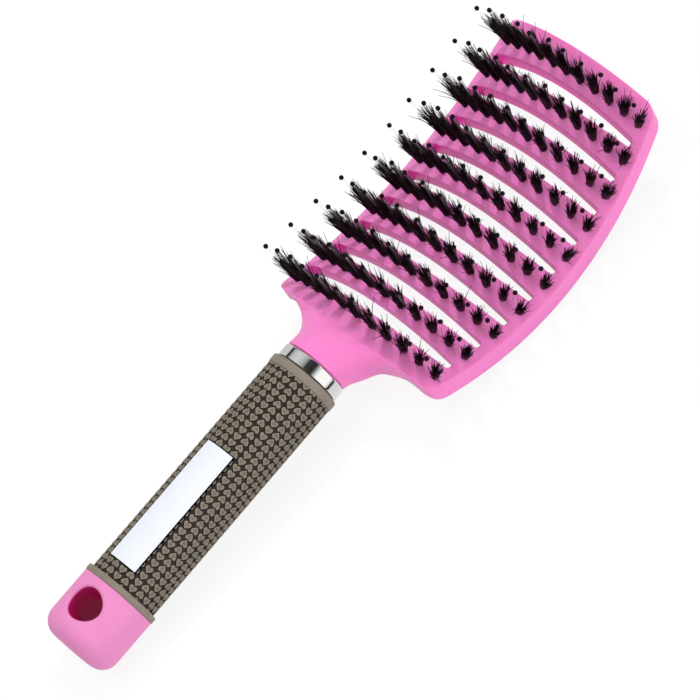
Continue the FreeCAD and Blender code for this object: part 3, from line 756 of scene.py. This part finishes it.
# The plate's side walls and a hairline round its top are painted black: painted shadow in the seam.
at_edge = plate_white.ramp(past_side.most(past_end), -EDGE_START * MM, -EDGE_FULL * MM)
plate_white.feed(Base_Color=plate_white.blend(at_edge, plate_white.tint, paint(SEAM_SHADOW_BLACK)))
dress("label_plate", plate_white)

# End cap: a pink plug with a well rounded butt and a hole through it for hanging, pressed into the handle
# tube. Its skin is paler than the head's, and the wall of the hole is painted deep crimson: painted shade
# inside the bore.
HOLE_RADIUS = 5.6
HOLE_FADE = 0.2
CAP_PINK = (228, 142, 192)
CAP_STREAK = (222, 134, 186)
HOLE_SHADE_PINK = (204, 22, 116)

cap_plastic = moulded(
    "cap_plastic",
    CAP_PINK,
    CAP_STREAK,
    gloss=0.5,
    cloud_size=9,
    grain_size=0.5,
    grain_depth=0.015,
    Specular_IOR_Level=0.12,
)
cap_where = cap_plastic.place()
cap_x, cap_y = (cap_plastic.axis(cap_where, number) for number in range(2))
hole_reach = (cap_x * cap_x + cap_y * cap_y) ** 0.5
# The hole's wall is painted deep crimson: painted shade inside the bore.
from_hole = cap_plastic.ramp(hole_reach, HOLE_RADIUS * MM, (HOLE_RADIUS + HOLE_FADE) * MM)
cap_plastic.feed(Base_Color=cap_plastic.blend(from_hole, paint(HOLE_SHADE_PINK), cap_plastic.tint))
dress("end_cap", cap_plastic)

# Studio floor: a broad sheet of pale matt card. The brush lies on it with the head's rails and the edge of
# the end cap, so the sheet slopes with the brush. It is near white to the eye and keeps the soft shadow.
FLOOR_HALF = 3000.0
FLOOR_LINES = 9
FLOOR_GAP = 0.7
FLOOR_GLOW = 0.88
FLOOR_COLOUR = (250, 250, 251)
WHITE = (255, 255, 255)
CAP_EDGE = 6.0

head_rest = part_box("side_rail_right")[0].z / MM
cap_end, cap_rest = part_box("end_cap")[0].y / MM + CAP_EDGE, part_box("end_cap")[0].z / MM
lie_slope = (cap_rest - head_rest) / (cap_end - scoop_y)
floor_run = np.linspace(-FLOOR_HALF, FLOOR_HALF, FLOOR_LINES)
floor_x, floor_y = np.meshgrid(floor_run, floor_run)
floor_z = head_rest - FLOOR_GAP + lie_slope * (floor_y - scoop_y)
floor_points = np.stack([floor_x, floor_y, floor_z], -1).reshape(-1, 3)
spot = np.arange(floor_x.size).reshape(floor_x.shape)
floor_faces = np.stack([spot[:-1, :-1], spot[:-1, 1:], spot[1:, 1:], spot[1:, :-1]], -1)
floor_mesh = bpy.data.meshes.new("floor")
floor_mesh.from_pydata((floor_points * MM).tolist(), [], floor_faces.reshape(-1, 4).tolist())
floor = bpy.data.objects.new("floor", floor_mesh)
bpy.context.scene.collection.objects.link(floor)
floor.visible_glossy = False
pale = Finish("pale_floor", Base_Color=paint(FLOOR_COLOUR), Roughness=0.9, Specular_IOR_Level=0.0)
floor_eye, floor_glass = (pale.node("ShaderNodeLightPath", output=kind) for kind in (0, 6))
floor_glow = pale.node("ShaderNodeEmission", sockets={"Color": paint(WHITE), "Strength": 1.0})
floor_card = Tone(pale.tree, pale.shader.outputs[0])
floor_share = (floor_eye + floor_glass) * FLOOR_GLOW
floor_mix = pale.node("ShaderNodeMixShader", sockets={0: floor_share, 1: floor_card, 2: floor_glow})
pale.tree.links.new(floor_mix.socket, pale.tree.nodes["Material Output"].inputs[0])
floor_mesh.materials.append(pale.material)

# Camera: a long lens about a metre above the bristle side. It is turned so that the brush lies from lower
# left to upper right, with the handle at the lower corner.
CAMERA_ROLL = np.radians(49.62)
CAMERA_SIDE = np.radians(31.31)
CAMERA_TILT = np.radians(8.48)
CAMERA_SKEW = np.radians(-0.24)
CAMERA_AIM = (4.79, 113.63)
CAMERA_RANGE = 1106.0
CAMERA_SCALE = 3.229
CAMERA_SENSOR = 36.0
PHOTO_WIDTH = 700

aside = np.array([np.cos(CAMERA_SIDE), 0, -np.sin(CAMERA_SIDE)])
upright = np.array([np.sin(CAMERA_SIDE), 0, np.cos(CAMERA_SIDE)])
ahead = np.array([0, np.cos(CAMERA_TILT), 0]) + upright * np.sin(CAMERA_TILT)
away = np.array([0, -np.sin(CAMERA_TILT), 0]) + upright * np.cos(CAMERA_TILT)
brush_middle = aside * CAMERA_AIM[0] + ahead * CAMERA_AIM[1]
skew_aside = aside * np.cos(CAMERA_SKEW) - ahead * np.sin(CAMERA_SKEW)
skew_ahead = aside * np.sin(CAMERA_SKEW) + ahead * np.cos(CAMERA_SKEW)
camera_right = np.cos(CAMERA_ROLL) * skew_ahead + np.sin(CAMERA_ROLL) * skew_aside
camera_up = np.sin(CAMERA_ROLL) * skew_ahead - np.cos(CAMERA_ROLL) * skew_aside


def placed(right, up, back, place):
    """A matrix with these three axes at a place in millimetres."""
    matrix = np.eye(4)
    matrix[:3, :3] = np.stack([right, up, back], -1)
    matrix[:3, 3] = place * MM
    return Matrix(matrix.tolist())


camera_data = bpy.data.cameras.new("camera")
camera_data.sensor_width = CAMERA_SENSOR
camera_data.lens = CAMERA_SCALE * CAMERA_RANGE / PHOTO_WIDTH * CAMERA_SENSOR
camera_data.clip_start = 0.05
camera_data.clip_end = 20.0
camera = bpy.data.objects.new("camera", camera_data)
bpy.context.scene.collection.objects.link(camera)
camera.matrix_world = placed(camera_right, camera_up, away, brush_middle + away * CAMERA_RANGE)
bpy.context.scene.camera = camera
bpy.context.scene.view_settings.view_transform = "Standard"

# Lamps: three soft boxes on stands round the brush, a small key beyond its top, a wide one at its right and
# a fill at its left.


def soft_box(name, right, up, back, size, power):
    """A square lamp that faces the middle of the brush from a place given along the camera's own axes."""
    offset = camera_right * right + camera_up * up + away * back
    toward = offset / np.linalg.norm(offset)
    level = np.cross(camera_up, toward)
    level = level / np.linalg.norm(level)
    lamp = bpy.data.lights.new(name, "AREA")
    lamp.size = size * MM
    lamp.energy = power
    holder = bpy.data.objects.new(name, lamp)
    bpy.context.scene.collection.objects.link(holder)
    holder.matrix_world = placed(level, np.cross(toward, level), toward, brush_middle + offset)
    holder.visible_glossy = False


soft_box("key", right=-150, up=1000, back=620, size=110, power=4.7)
soft_box("side", right=850, up=-300, back=520, size=700, power=5.2)
soft_box("fill", right=-400, up=340, back=870, size=500, power=3.8)

# Room: even white light from all round, plain white to the camera. Grey and black cards stand round the
# handle's axis and show only in what is glossy, as bands along the plated ring.
ROOM_LIGHT = 0.55
CARD_STOPS = [
    (0.0, 0.6), (0.192, 0.6), (0.211, 0.03), (0.229, 0.03), (0.25, 0.4), (0.27, 0.52), (0.323, 0.64),
    (0.373, 0.5), (0.408, 0.32), (0.43, 0.04), (0.497, 0.02), (0.513, 0.1), (0.5475, 0.75), (0.565, 1.0),
    (0.675, 1.0), (0.697, 0.7), (0.711, 0.02), (0.727, 0.02), (0.742, 0.68), (1.0, 0.8),
]

world = bpy.data.worlds.new("white_room")
world.use_nodes = True
bpy.context.scene.world = world
room = Shading(world.node_tree)
heading = room.node("ShaderNodeTexCoord", output=0)
share_of = {"operation": "DOT_PRODUCT"}
to_side = room.node("ShaderNodeVectorMath", share_of, {0: heading, 1: aside.tolist()}, 1)
to_camera = room.node("ShaderNodeVectorMath", share_of, {0: heading, 1: upright.tolist()}, 1)
round_handle = to_side.join("ARCTAN2", to_side, to_camera) * (0.5 / np.pi) + 0.5
card_tones = [(place, (tone, tone, tone, 1)) for place, tone in CARD_STOPS]
cards = room.node("ShaderNodeValToRGB", {"stops": card_tones}, {0: round_handle})
from_eye, from_gloss, from_glass = (room.node("ShaderNodeLightPath", output=kind) for kind in (0, 3, 6))
room_tone = room.blend(from_gloss, paint(WHITE), cards)
room_strength = ROOM_LIGHT + (1 - ROOM_LIGHT) * (from_eye + from_gloss + from_glass)
sky = room.tree.nodes["Background"]
room.tree.links.new(room_tone.socket, sky.inputs["Color"])
room.tree.links.new(room_strength.socket, sky.inputs["Strength"])

bpy.context.view_layer.update()
